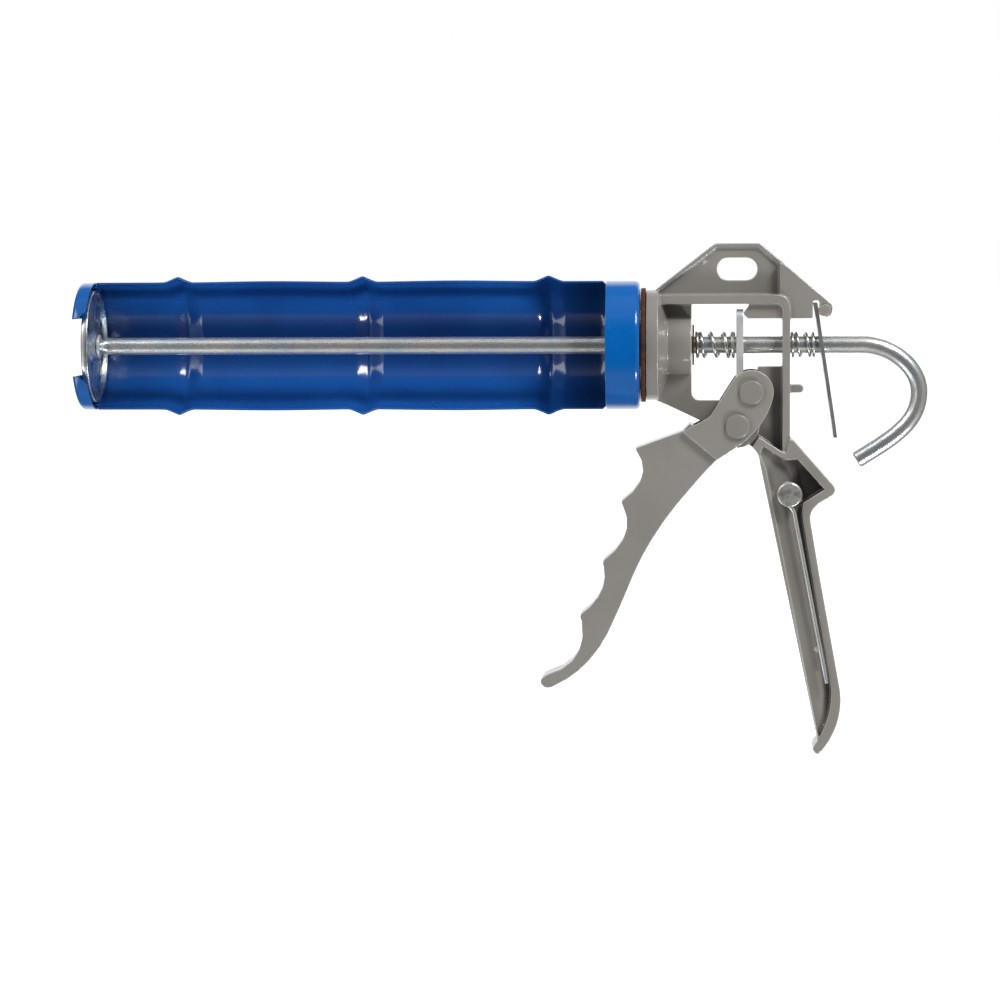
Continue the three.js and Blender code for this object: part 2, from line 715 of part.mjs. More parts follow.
const body = new THREE.Group();
body.position.x = frameX;
body.add(piece("frame", frameCasting(), castGrey));
body.add(piece(
  "spring_seat", ring(seatWasherFront, seatWasherFront + seatWasherThickness, rodBore, seatWasherRadius, 24),
  fibreBrown));
body.add(piece("drive_spring", driveSpring(), springSteel));
body.add(piece("drive_plate", drivePlate(), zincSteel));
body.add(piece("release_lever", releaseLever(), zincSteel));
body.add(piece("release_spring", releaseSpring(), springSteel));
body.add(piece(
  "lever_pin", crossBar(earPinX, earPinZ, earPinRadius, -blockHalf - 0.4, blockHalf + 0.4), castGrey));
body.add(piece("puncture_wire", punctureWire(), zincSteel));
body.add(piece("wire_rivet", wireRivet(), zincSteel));

const trigger = new THREE.Group();
trigger.position.set(pivotX, 0, pivotZ);
trigger.add(piece("trigger", triggerForging(), castGrey));
trigger.add(piece("drive_pin", cheekRivet(driveX, driveZ), castGrey));
trigger.add(piece("drive_roller", driveRoller(), zincSteel));
trigger.add(piece("pivot_pin", cheekRivet(0, 0), castGrey));
body.add(trigger);
gun.add(body);

export default gun;
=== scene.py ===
import math

import bmesh
import bpy
from mathutils import Matrix, Vector


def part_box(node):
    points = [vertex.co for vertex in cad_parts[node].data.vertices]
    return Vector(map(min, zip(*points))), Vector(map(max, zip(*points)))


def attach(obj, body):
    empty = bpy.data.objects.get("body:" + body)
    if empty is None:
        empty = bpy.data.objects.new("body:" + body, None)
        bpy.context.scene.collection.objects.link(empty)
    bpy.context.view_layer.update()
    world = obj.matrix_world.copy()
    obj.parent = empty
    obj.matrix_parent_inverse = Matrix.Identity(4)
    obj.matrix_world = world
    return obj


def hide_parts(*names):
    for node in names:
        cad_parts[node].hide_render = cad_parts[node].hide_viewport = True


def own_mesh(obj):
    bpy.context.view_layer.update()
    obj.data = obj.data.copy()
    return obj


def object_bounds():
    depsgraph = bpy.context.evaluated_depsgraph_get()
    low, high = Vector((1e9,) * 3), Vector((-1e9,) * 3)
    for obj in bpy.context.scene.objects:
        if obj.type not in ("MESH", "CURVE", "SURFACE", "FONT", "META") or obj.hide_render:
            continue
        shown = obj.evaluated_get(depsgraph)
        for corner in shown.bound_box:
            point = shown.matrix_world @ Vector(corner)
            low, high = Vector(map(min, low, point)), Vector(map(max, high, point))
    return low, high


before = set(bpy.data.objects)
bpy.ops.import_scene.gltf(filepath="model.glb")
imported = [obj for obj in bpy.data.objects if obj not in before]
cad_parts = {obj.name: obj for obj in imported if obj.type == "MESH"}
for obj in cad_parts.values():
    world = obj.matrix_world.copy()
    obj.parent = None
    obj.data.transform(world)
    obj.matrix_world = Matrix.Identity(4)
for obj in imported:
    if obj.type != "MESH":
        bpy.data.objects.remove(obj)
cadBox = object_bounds()
print("frame loaded:", len(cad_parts), "nodes")

mm = 0.001
halfTurn = math.pi
fullTurn = 2 * math.pi


# node trees: arithmetic on sockets, one method for every other node

def paint(red, green, blue):
    # a colour as it looks on a screen, 0 to 255, turned into the linear values nodes use
    channels = [value / 255 for value in (red, green, blue)]
    linear = [c / 12.92 if c <= 0.04045 else ((c + 0.055) / 1.055) ** 2.4 for c in channels]
    return (*linear, 1.0)


class Value:
    # a socket with operators: each one adds a Math node
    def __init__(self, recipe, socket):
        self.recipe = recipe
        self.socket = socket

    def maths(self, operation, *others):
        return self.recipe.add("ShaderNodeMath", {"operation": operation}, (self, *others))

    def __add__(self, other):
        return self.maths("ADD", other)

    def __radd__(self, other):
        return self.maths("ADD", other)

    def __sub__(self, other):
        return self.maths("SUBTRACT", other)

    def __rsub__(self, other):
        return (self * -1.0) + other

    def __mul__(self, other):
        return self.maths("MULTIPLY", other)

    def __rmul__(self, other):
        return self.maths("MULTIPLY", other)

    def __pow__(self, other):
        return self.maths("POWER", other)


class Recipe:
    def __init__(self, tree):
        self.tree = tree

    def add(self, kind, settings, sockets, out=0):
        node = self.tree.nodes.new(kind)
        for name, value in settings.items():
            setattr(node, name, value)
        pairs = sockets.items() if isinstance(sockets, dict) else enumerate(sockets)
        for key, value in pairs:
            self.feed(node.inputs[key], value)
        return Value(self, node.outputs[out])

    def feed(self, socket, value):
        if isinstance(value, Value):
            self.tree.links.new(value.socket, socket)
        else:
            socket.default_value = value

    def mix(self, first, second, factor):
        return self.add("ShaderNodeMix", {"data_type": "RGBA"}, {0: factor, 6: first, 7: second}, 2)

    def span(self, value, low, high, lowOut=0.0, highOut=1.0):
        sockets = {"Value": value, "From Min": low, "From Max": high, "To Min": lowOut, "To Max": highOut}
        return self.add("ShaderNodeMapRange", {"interpolation_type": "SMOOTHSTEP"}, sockets)

    def spot(self, stretch=(1, 1, 1)):
        # place on the object in metres, stretched along its axes
        place = self.add("ShaderNodeTexCoord", {}, {}, "Object")
        return self.add("ShaderNodeVectorMath", {"operation": "MULTIPLY"}, [place, stretch])

    def lay(self, stretch):
        # place along and round a swept or turned piece, kept on its points
        place = self.add("ShaderNodeAttribute", {"attribute_name": "lay"}, {}, "Vector")
        return self.add("ShaderNodeVectorMath", {"operation": "MULTIPLY"}, [place, stretch])

    def axis(self, place, letter):
        return self.add("ShaderNodeSeparateXYZ", {}, [place], letter)

    def noise(self, place, scale, detail, roughness=0.55):
        sockets = {"Vector": place, "Scale": scale, "Detail": detail, "Roughness": roughness}
        return self.add("ShaderNodeTexNoise", {}, sockets, "Fac")

    def bump(self, height, strength, depth):
        sockets = {"Strength": strength, "Distance": depth, "Height": height}
        return self.add("ShaderNodeBump", {}, sockets, "Normal")


class Finish(Recipe):
    def __init__(self, name, shader):
        self.material = bpy.data.materials.new(name)
        self.material.use_nodes = True
        super().__init__(self.material.node_tree)
        self.shader = self.tree.nodes["Principled BSDF"]
        for socket, value in shader.items():
            self.shader.inputs[socket].default_value = value

    def set(self, **sockets):
        names = {"colour": "Base Color", "roughness": "Roughness", "metallic": "Metallic", "normal": "Normal"}
        for name, value in sockets.items():
            self.feed(self.shader.inputs[names[name]], value)
        return self.material


# finishes

enamel = {
    "blue": paint(4, 98, 178),
    "deep": paint(4, 86, 162),
    # the barrel's enamel blues, greyed by a faint painted reflection
    "barrelBlueWithReflection": paint(30, 92, 172),
    "barrelDeepWithReflection": paint(26, 80, 156),
    "speck": paint(120, 160, 205),
    # the colour of the painted shade inside the barrel's ends
    "thin": paint(14, 26, 48),
    "shader": {"Coat Weight": 0.25, "Coat Roughness": 0.02, "IOR": 1.42},
    "roughness": (0.1, 0.17),
    "driftScale": 24,
    "peelScale": 260,
    "peelDepth": 0.00005,
    "gritScale": 1900,
    "gritBand": (0.735, 0.76),
    # painted shade inside the barrel: places along the gun, in metres, and how dark the shade is painted
    # there
    "rearShade": (0.186, 0.208),
    "rearDepth": 0.62,
    "frontShade": (-0.002, 0.014),
    "frontDepth": 0.3,
    "insideOf": (0.0254, 0.0258),
}


def enamelPaint(name, blue, deep, ends=False):
    # stoved enamel: a slow drift of colour, a light orange peel and a few grits
    finish = Finish(name, enamel["shader"])
    place = finish.spot()
    drift = finish.noise(place, enamel["driftScale"], 2)
    peel = finish.noise(place, enamel["peelScale"], 2)
    grit = finish.noise(place, enamel["gritScale"], 1)
    specks = finish.span(grit, *enamel["gritBand"])
    colour = finish.mix(blue, deep, finish.span(drift, 0.35, 0.7))
    if ends:
        # inside, the coat is painted darker towards both ends of the barrel: painted shade, where the caps
        # keep the light out
        along = finish.axis(place, "X")
        sideways = finish.axis(place, "Y")
        upright = finish.axis(place, "Z")
        out = (sideways * sideways + upright * upright) ** 0.5
        shade = finish.span(along, *enamel["rearShade"], 0.0, enamel["rearDepth"])
        shade = shade + finish.span(along, *enamel["frontShade"], enamel["frontDepth"], 0.0)
        shade = shade * finish.span(out, *enamel["insideOf"], 1.0, 0.0)
        colour = finish.mix(colour, enamel["thin"], shade)
    colour = finish.mix(colour, enamel["speck"], specks * 0.35)
    roughness = finish.span(drift, 0.3, 0.75, *enamel["roughness"]) + specks * 0.25
    normal = finish.bump(peel + specks * 0.4, 0.25, enamel["peelDepth"])
    return finish.set(colour=colour, roughness=roughness, normal=normal)


casting = {
    "grey": paint(142, 139, 134),
    "warm": paint(134, 130, 124),
    "rivetGrey": paint(134, 131, 127),
    "rivetWarm": paint(126, 122, 117),
    # pale edges: partly wear, partly a painted highlight
    "edge": paint(206, 204, 198),
    # the colour of the painted shade in corners and recesses
    "recess": paint(58, 52, 48),
    "shader": {"Coat Weight": 0.6, "Coat Roughness": 0.12, "IOR": 1.48},
    "recessReach": 0.013,
    "recessBand": (0.25, 0.85),
    "recessRise": (-0.052, -0.03),  # heights between which the painted shade's depth changes, in metres
    "recessDepth": (1.0, 0.35),  # how deep the painted shade is in the handle, and above it
    "roughness": (0.34, 0.46),
    "driftScale": 30,
    "rippleScale": 240,
    "grainScale": 1500,
    "grainDepth": 0.00004,
    "edgeBand": (0.515, 0.56),
    "edgeShare": 0.7,
}


def castingPaint(name, grey, warm, edges=True):
    # satin paint over a sand-cast skin: grain, slow drift, painted shade in corners and recesses, and paler
    # edges that are partly wear and partly painted highlight
    finish = Finish(name, casting["shader"])
    place = finish.spot()
    drift = finish.noise(place, casting["driftScale"], 3)
    grain = finish.noise(place, casting["grainScale"], 3)
    ripple = finish.noise(place, casting["rippleScale"], 2)
    colour = finish.mix(grey, warm, finish.span(drift, 0.35, 0.7))
    roughness = finish.span(grain, 0.3, 0.7, *casting["roughness"])
    if edges:
        # pale edges, partly wear and partly painted highlight
        pointed = finish.add("ShaderNodeNewGeometry", {}, {}, "Pointiness")
        edgeWearAndHighlight = finish.span(pointed, *casting["edgeBand"])
        # painted shade: darker where the casting is closed in, deeper in the handle
        reach = {"Distance": casting["recessReach"]}
        openness = finish.add("ShaderNodeAmbientOcclusion", {"only_local": True, "samples": 8}, reach, "AO")
        depth = finish.span(finish.axis(place, "Z"), *casting["recessRise"], *casting["recessDepth"])
        shade = finish.span(openness, *casting["recessBand"], 1.0, 0.0) * depth
        colour = finish.mix(colour, casting["recess"], shade)
        colour = finish.mix(colour, casting["edge"], edgeWearAndHighlight * casting["edgeShare"])
        roughness = roughness - edgeWearAndHighlight * 0.08
    normal = finish.bump(grain * 0.5 + ripple, 0.35, casting["grainDepth"])
    return finish.set(colour=colour, roughness=roughness, normal=normal)


steel = {
    "bright": paint(238, 238, 234),
    "dull": paint(158, 150, 142),
    "blueTint": paint(214, 224, 230),
    "roughness": (0.2, 0.4),
    "tintScale": 45,
    "pitScale": 2600,
    "depth": 0.00004,
}


def platedSteel(name, stretch, onLay=False, dullness=0.5, roughness=steel["roughness"], metallic=1.0):
    # zinc plate: streaks that follow the drawn wire, with a slight blue tint
    finish = Finish(name, {"Metallic": metallic})
    place = finish.lay(stretch) if onLay else finish.spot(stretch)
    streaks = finish.noise(place, 1.0, 4, 0.65)
    tint = finish.noise(finish.spot(), steel["tintScale"], 2)
    pits = finish.noise(finish.spot(), steel["pitScale"], 2)
    colour = finish.mix(steel["bright"], steel["blueTint"], finish.span(tint, 0.4, 0.65))
    colour = finish.mix(colour, steel["dull"], finish.span(streaks, 0.45, 0.7) * dullness)
    roughness = finish.span(streaks, 0.3, 0.72, *roughness) + finish.span(pits, 0.55, 0.75) * 0.06
    normal = finish.bump(streaks + pits * 0.3, 0.3, steel["depth"])
    return finish.set(colour=colour, roughness=roughness, normal=normal)


springWire = {
    "bright": paint(228, 226, 220),
    "dull": paint(150, 143, 134),
    "stretch": (300, 2600, 2600),
    "roughness": (0.2, 0.36),
    "depth": 0.00003,
}


def springSteel(name):
    finish = Finish(name, {"Metallic": 1.0})
    streaks = finish.noise(finish.lay(springWire["stretch"]), 1.0, 3)
    dullness = finish.span(streaks, 0.4, 0.7) * 0.7
    colour = finish.mix(springWire["bright"], springWire["dull"], dullness)
    roughness = finish.span(streaks, 0.3, 0.7, *springWire["roughness"])
    normal = finish.bump(streaks, 0.25, springWire["depth"])
    return finish.set(colour=colour, roughness=roughness, normal=normal)


fibre = {
    "brown": paint(92, 52, 30),
    "dark": paint(54, 30, 20),
    "stain": paint(34, 24, 20),
    "stretch": (600, 1800, 1800),
    "stainScale": 160,
    "roughness": (0.6, 0.85),
    "depth": 0.0001,
}


def fibreBoard(name):
    finish = Finish(name, {"IOR": 1.4})
    fibres = finish.noise(finish.spot(fibre["stretch"]), 1.0, 5, 0.7)
    stain = finish.noise(finish.spot(), fibre["stainScale"], 2)
    colour = finish.mix(fibre["brown"], fibre["dark"], finish.span(fibres, 0.35, 0.7))
    colour = finish.mix(colour, fibre["stain"], finish.span(stain, 0.5, 0.75) * 0.5)
    normal = finish.bump(fibres, 0.5, fibre["depth"])
    roughness = finish.span(fibres, 0.3, 0.7, *fibre["roughness"])
    return finish.set(colour=colour, roughness=roughness, normal=normal)


enamelOutside = enamelPaint("blue_enamel", enamel["blue"], enamel["deep"])
enamelInside = enamelPaint("blue_enamel_barrel", enamel["barrelBlueWithReflection"], enamel["barrelDeepWithReflection"], ends=True)
greyPaint = castingPaint("grey_paint", casting["grey"], casting["warm"])
rivetPaint = castingPaint("grey_paint_rivets", casting["rivetGrey"], casting["rivetWarm"], edges=False)
rodSteel = platedSteel("drawn_rod", (330, 2600, 2600), onLay=True, dullness=0.8, metallic=0.86)
discSteel = platedSteel("pressed_disc", (60, 500, 60), onLay=True, dullness=0.4)
plateSteel = platedSteel("zinc_plate", (900, 300, 90), roughness=(0.3, 0.48), metallic=0.55)
leverSteel = platedSteel(
    "lever_plate", (900, 900, 60), dullness=1.0, roughness=(0.24, 0.4), metallic=0.9)
wireSteel = platedSteel("drawn_wire", (80, 2400, 2400), onLay=True, metallic=0.8)
rivetSteel = platedSteel(
    "rivet_head", (260, 260, 260), dullness=1.0, roughness=(0.28, 0.42), metallic=0.85)
coilSteel = springSteel("spring_wire")
brownFibre = fibreBoard("brown_fibre")
print("finishes made")


# mesh builders

build = {
    "weld": 1e-7,  # metres
    "copyWeld": 2e-7,
    "sharpest": 40,  # degrees
    "flatWithin": 1.5,
    "bevelFrom": 35,
    "turnedSegments": 96,
}


def roundedPath(corners, steps=4, closed=True):
    # (along, out, rounding) corners, in mm, to a smooth path in metres
    path = []
    count = len(corners)
    for i, (along, out, rounding) in enumerate(corners):
        here = Vector((along, out))
        if rounding <= 0 or (not closed and i in (0, count - 1)):
            path.append(here * mm)
            continue
        before = Vector(corners[i - 1][:2]) - here
        after = Vector(corners[(i + 1) % count][:2]) - here
        bend = before.angle(after)
        reach = min(rounding / math.tan(bend / 2), before.length * 0.49, after.length * 0.49)
        start = here + before.normalized() * reach
        end = here + after.normalized() * reach
        for step in range(steps + 1):
            t = step / steps
            path.append((start * (1 - t) ** 2 + here * 2 * t * (1 - t) + end * t * t) * mm)
    return path


def finishMesh(mesh, shape, sharpest=build["sharpest"]):
    bmesh.ops.remove_doubles(shape, verts=shape.verts, dist=build["weld"])
    bmesh.ops.recalc_face_normals(shape, faces=shape.faces)
    shape.to_mesh(mesh)
    shape.free()
    mesh.polygons.foreach_set("use_smooth", [True] * len(mesh.polygons))
    mesh.set_sharp_from_angle(angle=math.radians(sharpest))
    return mesh


def pointMaker(shape):
    # adds points that remember where they lie along and round their piece
    layer = shape.verts.layers.float_vector.new("lay")

    def point(at, along, sideways, upright):
        vertex = shape.verts.new(at)
        vertex[layer] = (along, sideways, upright)
        return vertex

    return point


def turned(name, path, segments=build["turnedSegments"], axis="X", centre=(0, 0, 0)):
    # a closed ring of (along, radius) points, or an open one that starts and ends on the axis
    mesh = bpy.data.meshes.new(name)
    shape = bmesh.new()
    middle = Vector(centre)
    point = pointMaker(shape)
    rings = []
    for along, radius in path:
        if radius < 1e-9:
            rings.append([point(middle + turnedPoint(axis, along, 0, 0), along, 0, 0)] * segments)
            continue
        loop = []
        for i in range(segments):
            angle = fullTurn * i / segments
            at = middle + turnedPoint(axis, along, radius, angle)
            loop.append(point(at, along, radius * math.cos(angle), radius * math.sin(angle)))
        rings.append(loop)
    isClosed = path[0][1] > 1e-9
    pairs = list(zip(rings, rings[1:]))
    if isClosed:
        pairs.append((rings[-1], rings[0]))
    for near, far in pairs:
        for i in range(segments):
            j = (i + 1) % segments
            corners = list(dict.fromkeys([near[i], near[j], far[j], far[i]]))
            if len(corners) > 2:
                shape.faces.new(corners)
    return finishMesh(mesh, shape)


def turnedPoint(axis, along, radius, angle):
    if axis == "X":
        return Vector((along, radius * math.cos(angle), radius * math.sin(angle)))
    return Vector((radius * math.cos(angle), along, radius * math.sin(angle)))


def swept(name, points, radii, sides, upright=Vector((0, 1, 0))):
    # a round bar along points, in metres, with a radius at each
    mesh = bpy.data.meshes.new(name)
    shape = bmesh.new()
    point = pointMaker(shape)
    rings = []
    travelled = 0.0
    side = None
    for i, spot in enumerate(points):
        ahead = (points[min(i + 1, len(points) - 1)] - points[max(i - 1, 0)]).normalized()
        side = upright if side is None else side
        side = (side - ahead * side.dot(ahead)).normalized()
        other = ahead.cross(side)
        if i:
            travelled += (spot - points[i - 1]).length
        loop = []
        for k in range(sides):
            angle = fullTurn * k / sides
            spoke = side * math.cos(angle) + other * math.sin(angle)
            sideways = radii[i] * math.cos(angle)
            loop.append(point(spot + spoke * radii[i], travelled, sideways, radii[i] * math.sin(angle)))
        rings.append(loop)
    for near, far in zip(rings, rings[1:]):
        for k in range(sides):
            j = (k + 1) % sides
            shape.faces.new([near[k], near[j], far[j], far[k]])
    shape.faces.new(rings[0])
    shape.faces.new(list(reversed(rings[-1])))
    return finishMesh(mesh, shape)


def bezier(a, b, c, d, steps):
    points = []
    for i in range(steps + 1):
        t = i / steps
        u = 1 - t
        points.append(a * u ** 3 + b * 3 * u * u * t + c * 3 * u * t * t + d * t ** 3)
    return points


def place(name, mesh, material, body, slot, nodes):
    piece = bpy.data.objects.new(name, mesh)
    bpy.context.collection.objects.link(piece)
    mesh.materials.clear()
    mesh.materials.append(material)
    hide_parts(*nodes)
    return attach(piece, body)


def settle(piece):
    # turns a piece's modifiers into its mesh
    bpy.context.view_layer.update()
    shown = piece.evaluated_get(bpy.context.evaluated_depsgraph_get())
    mesh = bpy.data.meshes.new_from_object(shown)
    piece.modifiers.clear()
    piece.data = mesh
    return mesh


def looseCopy(name, node):
    # a free copy of a CAD node's mesh, with shared corners merged
    mesh = bpy.data.meshes.new(name)
    shape = bmesh.new()
    shape.from_mesh(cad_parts[node].data)
    bmesh.ops.remove_doubles(shape, verts=shape.verts, dist=build["copyWeld"])
    shape.to_mesh(mesh)
    shape.free()
    piece = bpy.data.objects.new(name, mesh)
    bpy.context.collection.objects.link(piece)
    return piece


def settleRough(rough, name):
    # keeps the settled mesh of a scratch piece, smooth shaded, under its own name
    mesh = settle(rough)
    mesh.name = name
    bpy.data.objects.remove(rough)
    mesh.polygons.foreach_set("use_smooth", [True] * len(mesh.polygons))
    return mesh


def bevelMesh(name, node, width, segments=3):
    rough = looseCopy(name + "_rough", node)
    shape = bmesh.new()
    shape.from_mesh(rough.data)
    flat = math.radians(build["flatWithin"])
    bmesh.ops.dissolve_limit(shape, angle_limit=flat, verts=shape.verts, edges=shape.edges)
    shape.to_mesh(rough.data)
    shape.free()
    bevel = rough.modifiers.new("bevel", "BEVEL")
    bevel.width = width
    bevel.segments = segments
    bevel.limit_method = "ANGLE"
    bevel.angle_limit = math.radians(build["bevelFrom"])
    mesh = settleRough(rough, name)
    mesh.set_sharp_from_angle(angle=math.radians(build["sharpest"]))
    return mesh


def evenNormals(piece):
    # large flat faces keep flat shading beside their rounded edges
    weighted = piece.modifiers.new("even normals", "WEIGHTED_NORMAL")
    weighted.keep_sharp = True


# barrel

barrel = {
    "radius": 26.1,
    "sheet": 0.9,
    "tongue": 24.7,
    "firstRib": 37.6,
    "ribPitch": 76.0,
    "ribCount": 3,
    "ribWidth": 12.6,
    "ribHeight": 2.2,
    "crest": 0.13,  # rounding of the ribs' crest, as a share of half their width
    "foot": 1.35,
    "step": 0.3,  # length of the step down to each tongue
    "swell": 0.4,
    "swellFrom": 40,  # shorter bays are straight
    "segments": 72,
    "gap": 0.06,  # between the barrel's full width and a cap's lip
    "seam": 0.01,
    "nearRib": 0.55,  # as a share of a rib's width
    "nearEnd": 1.2,
    "stationSteps": (0.06, 0.3, 3.0),  # near an end, near a rib, elsewhere
    "sharpest": 50,  # degrees
}


def ribRise(away):
    # a rounded V: nearly straight sides, a small round crest and eased feet
    crest = barrel["crest"]
    fall = (math.hypot(away, crest) - crest) / (math.hypot(1, crest) - crest)
    return max(0.0, 1 - fall) ** barrel["foot"]


def cradleRadius(x, start, end, ribs):
    # outside radius at x: a tongue in each cap, ribs, and bays that swell a little
    for rib in ribs:
        away = abs(x - rib) / (barrel["ribWidth"] / 2)
        if away < 1:
            return barrel["radius"] + barrel["ribHeight"] * ribRise(away)
    step = barrel["step"]
    for distance in (x - start, end - x):
        if distance < step:
            share = max(0.0, distance / step)
            share = share * share * (3 - 2 * share)
            return barrel["tongue"] + (barrel["radius"] - barrel["tongue"]) * share
    bays = [start, *ribs, end]
    for low, high in zip(bays, bays[1:]):
        if low <= x <= high and high - low > barrel["swellFrom"]:
            return barrel["radius"] + barrel["swell"] * math.sin(halfTurn * (x - low) / (high - low)) ** 2
    return barrel["radius"]


def cradleStations(low, high, start, end, ribs):
    # where the sheet's sections stand: close together at the ends and over the ribs
    stations = [low, start - barrel["seam"], end + barrel["seam"], high]
    endStep, ribStep, openStep = barrel["stationSteps"]
    x = start
    while x < end:
        stations.append(x)
        nearRib = min(abs(x - rib) for rib in ribs) < barrel["ribWidth"] * barrel["nearRib"]
        nearEnd = min(x - start, end - x) < barrel["nearEnd"]
        x += endStep if nearEnd else ribStep if nearRib else openStep
    return sorted(stations)


def cradleSection(radius):
    # one closed loop round the sheet, with half-round edges along its two long sides
    half = barrel["sheet"] / 2
    middle = radius - half
    edge = half / middle
    loop = []
    for i in range(barrel["segments"] + 1):
        angle = edge + (halfTurn - 2 * edge) * i / barrel["segments"]
        loop.append((middle + half, angle))
    for k in (1, 2, 3):
        turn = halfTurn * k / 4
        loop.append((middle + half * math.cos(turn), halfTurn - edge + edge * math.sin(turn)))
    for i in range(barrel["segments"] + 1):
        angle = halfTurn - edge - (halfTurn - 2 * edge) * i / barrel["segments"]
        loop.append((middle - half, angle))
    for k in (1, 2, 3):
        turn = halfTurn * k / 4
        loop.append((middle - half * math.cos(turn), edge - edge * math.sin(turn)))
    return loop


def cradleMesh():
    low, high = (corner.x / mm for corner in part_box("cradle"))
    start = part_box("front_cap")[1].x / mm + barrel["gap"]
    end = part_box("rear_cap")[0].x / mm - barrel["gap"]
    ribs = [low + barrel["firstRib"] + i * barrel["ribPitch"] for i in range(barrel["ribCount"])]
    mesh = bpy.data.meshes.new("barrel_cradle")
    shape = bmesh.new()
    rings = []
    for x in cradleStations(low, high, start, end, ribs):
        section = cradleSection(cradleRadius(x, start, end, ribs))
        rings.append([
            shape.verts.new(Vector((x, r * math.sin(a), r * math.cos(a))) * mm) for r, a in section
        ])
    count = len(rings[0])
    for near, far in zip(rings, rings[1:]):
        for i in range(count):
            j = (i + 1) % count
            shape.faces.new([near[i], near[j], far[j], far[i]])
    for ring in (rings[0], rings[-1]):
        shape.faces.new(ring)
    return finishMesh(mesh, shape, barrel["sharpest"])


place("barrel_cradle", cradleMesh(), enamelInside, "barrel", "enamel_inside", ["cradle"])


# end caps

rearCap = {
    "sheet": 0.9,
    "frontRounding": 0.35,
    "backRounding": 2.3,
    "hole": 9.35,
    "holeRounding": 0.2,
    "segments": 128,
    "steps": 6,
}


def rearCapMesh():
    low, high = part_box("rear_cap")
    front = low.x / mm
    back = high.x / mm
    radius = high.z / mm
    sheet = rearCap["sheet"]
    inside = radius - sheet
    path = roundedPath([
        (front, inside, rearCap["frontRounding"]),
        (front, radius, rearCap["frontRounding"]),
        (back, radius, rearCap["backRounding"]),
        (back, rearCap["hole"], rearCap["holeRounding"]),
        (back - sheet, rearCap["hole"], rearCap["holeRounding"]),
        (back - sheet, inside, rearCap["backRounding"] - sheet),
    ], rearCap["steps"])
    return turned("rear_cap_cup", path, rearCap["segments"])


place("rear_cap_cup", rearCapMesh(), enamelOutside, "barrel", "enamel", ["rear_cap"])

frontCap = {
    "sheet": 0.9,
    "rounding": 2.2,
    "edgeRounding": 0.3,
    "slot": 23.0,
    "slotSteps": 24,
    "mouth": 31.0,
    "mouthFrom": 1.5,  # behind the cap's front, where the slot starts to widen
    "mouthEase": (3.6, 0.2),  # how far the curve keeps straight, and its rise there
    "mouthSteps": 8,
    # how far the cutters reach past the cap
    "slotOverrun": 8,
    "mouthOverrun": (6, 3, 6),  # to the front, to the back and sideways
    "lip": 0.25,
    "lipFrom": 50,  # degrees
    "segments": 128,
    "steps": 6,
}


def slotCutter(front, back, radius):
    # the nozzle slot, from the middle out through the open side
    shape = bmesh.new()
    half = frontCap["slot"] / 2
    section = [(-2.0 * radius, -half)]
    for i in range(frontCap["slotSteps"] + 1):
        angle = -halfTurn / 2 + halfTurn * i / frontCap["slotSteps"]
        section.append((half * math.cos(angle), half * math.sin(angle)))
    section.append((-2.0 * radius, half))
    near = [shape.verts.new(Vector((front - frontCap["slotOverrun"], y, z)) * mm) for y, z in section]
    far = [shape.verts.new(Vector((back + frontCap["slotOverrun"], y, z)) * mm) for y, z in section]
    return cutterFrom(shape, near, far, "slot")


def mouthCutter(front, back, radius):
    # the slot widens in a curve where it crosses the rim
    shape = bmesh.new()
    half = frontCap["slot"] / 2
    wide = frontCap["mouth"] / 2
    start = front + frontCap["mouthFrom"]
    reach, rise = frontCap["mouthEase"]
    toFront, toBack, aside = frontCap["mouthOverrun"]
    side = [(front - toFront, half), (start, half)]
    for i in range(1, frontCap["mouthSteps"] + 1):
        t = i / frontCap["mouthSteps"]
        u = 1 - t
        x = start * u * u + (front + reach) * 2 * u * t + back * t * t
        z = half * u * u + (half + rise) * 2 * u * t + wide * t * t
        side.append((x, z))
    side.append((back + toBack, wide + aside))
    section = side + [(x, -z) for x, z in reversed(side)]
    near = [shape.verts.new(Vector((x, -2.0 * radius, z)) * mm) for x, z in section]
    far = [shape.verts.new(Vector((x, -0.5 * radius, z)) * mm) for x, z in section]
    return cutterFrom(shape, near, far, "mouth")


def cutterFrom(shape, near, far, name):
    # a solid between two outlines, as a scratch piece
    count = len(near)
    for i in range(count):
        j = (i + 1) % count
        shape.faces.new([near[i], near[j], far[j], far[i]])
    shape.faces.new(near)
    shape.faces.new(far)
    bmesh.ops.recalc_face_normals(shape, faces=shape.faces)
    mesh = bpy.data.meshes.new(name)
    shape.to_mesh(mesh)
    shape.free()
    cutter = bpy.data.objects.new(name, mesh)
    bpy.context.collection.objects.link(cutter)
    return cutter


